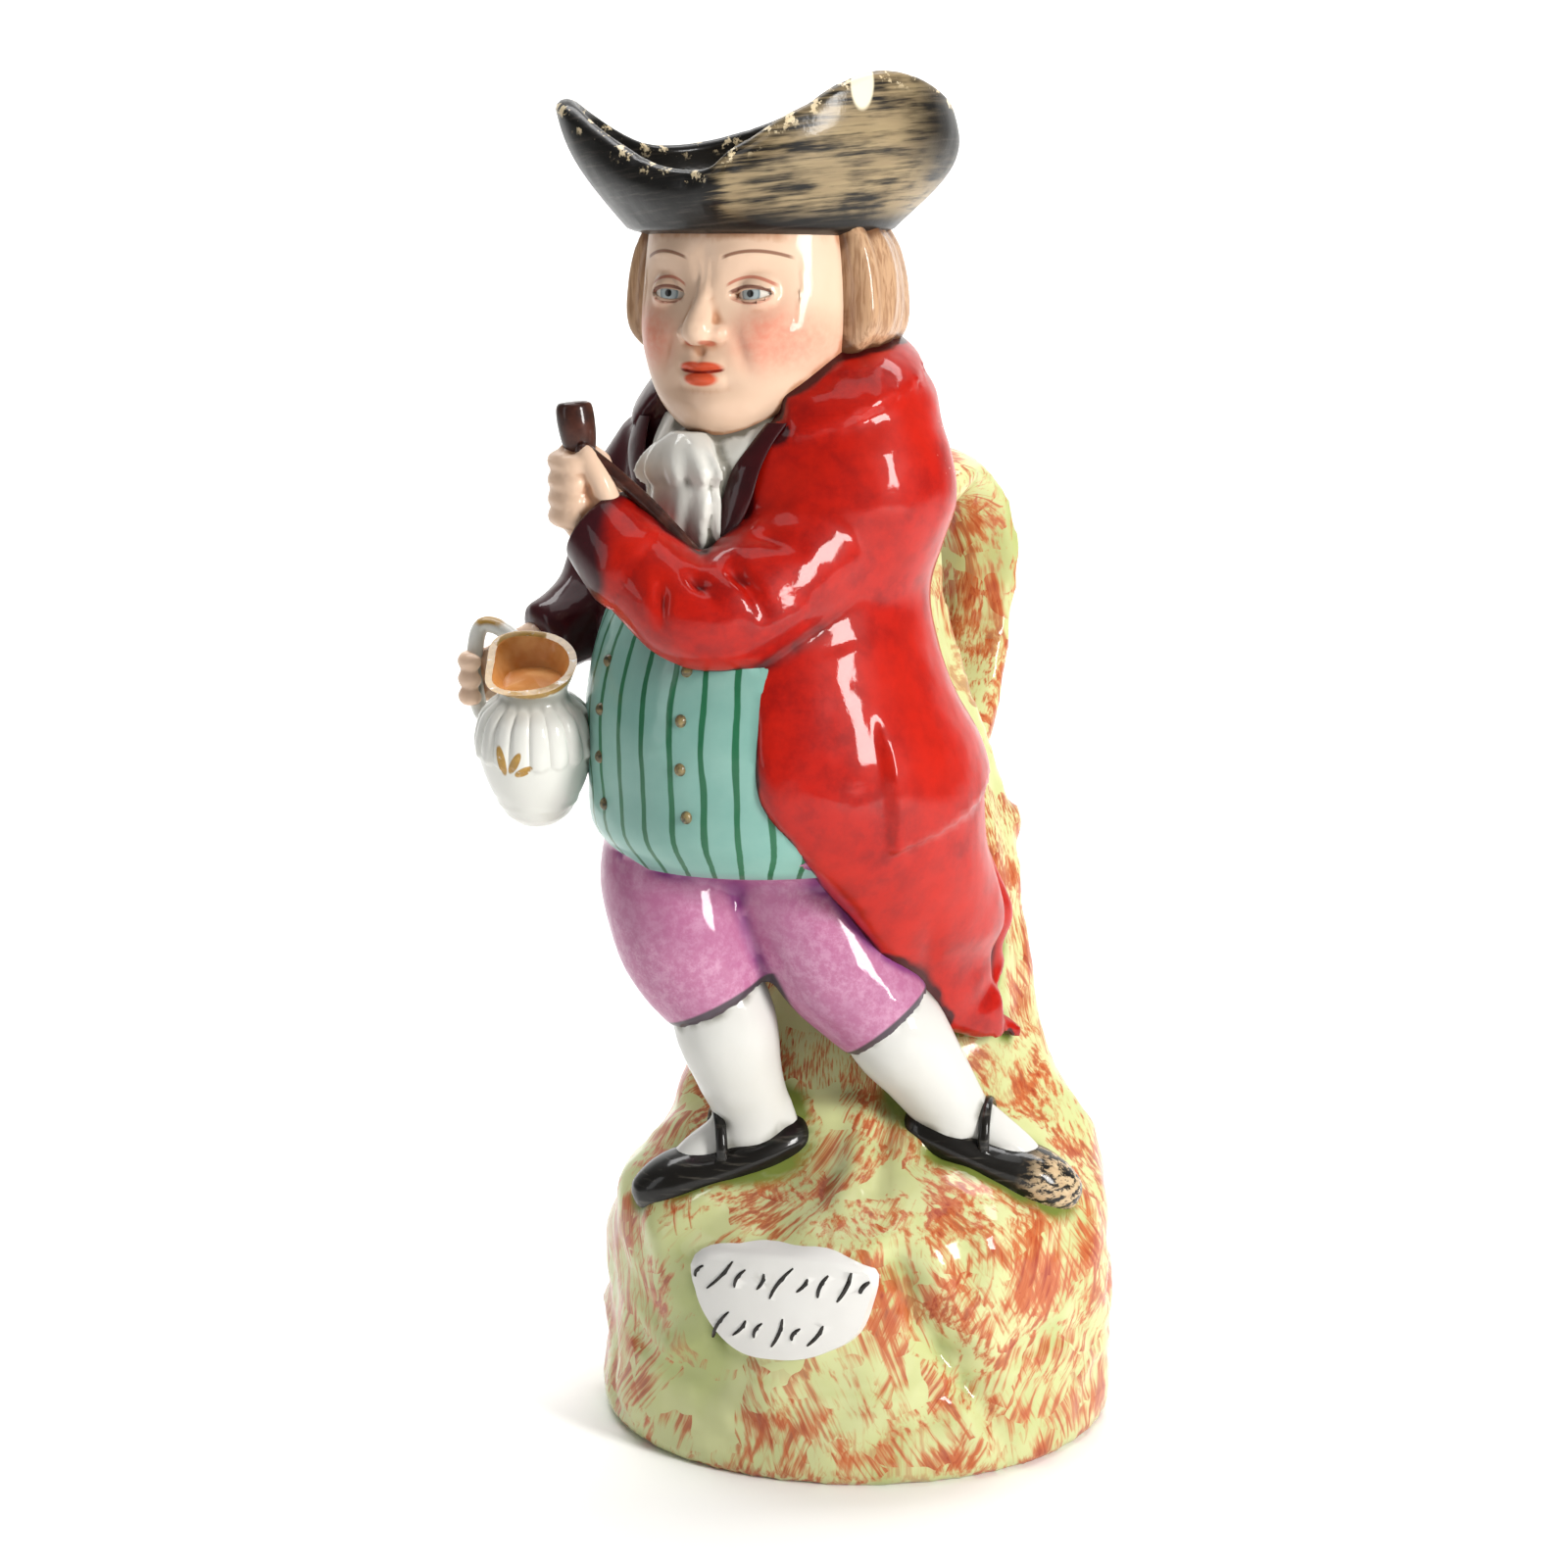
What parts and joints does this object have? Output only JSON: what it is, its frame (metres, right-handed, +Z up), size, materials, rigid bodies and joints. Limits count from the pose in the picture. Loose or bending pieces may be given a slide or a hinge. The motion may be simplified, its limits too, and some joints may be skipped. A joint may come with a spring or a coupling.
{
  "type": "toby jug",
  "caption": "Hollow glazed pottery jug shaped as a standing man in a cocked hat and tailcoat, with a branch handle at his back on a round base; the hat's open top is the mouth.",
  "frame": {"origin": "centre of the flat round underside, on the surface the jug stands on", "axes": "+Z up, the man faces -Y and the handle is at +Y, +X is the man's left"},
  "size_m": [0.1228, 0.1245, 0.2797],
  "materials": {
    "glazed_pottery": "gloss"
  },
  "bodies": {
    "root": {"toby_jug": "glazed_pottery"}
  },
  "joints": []
}
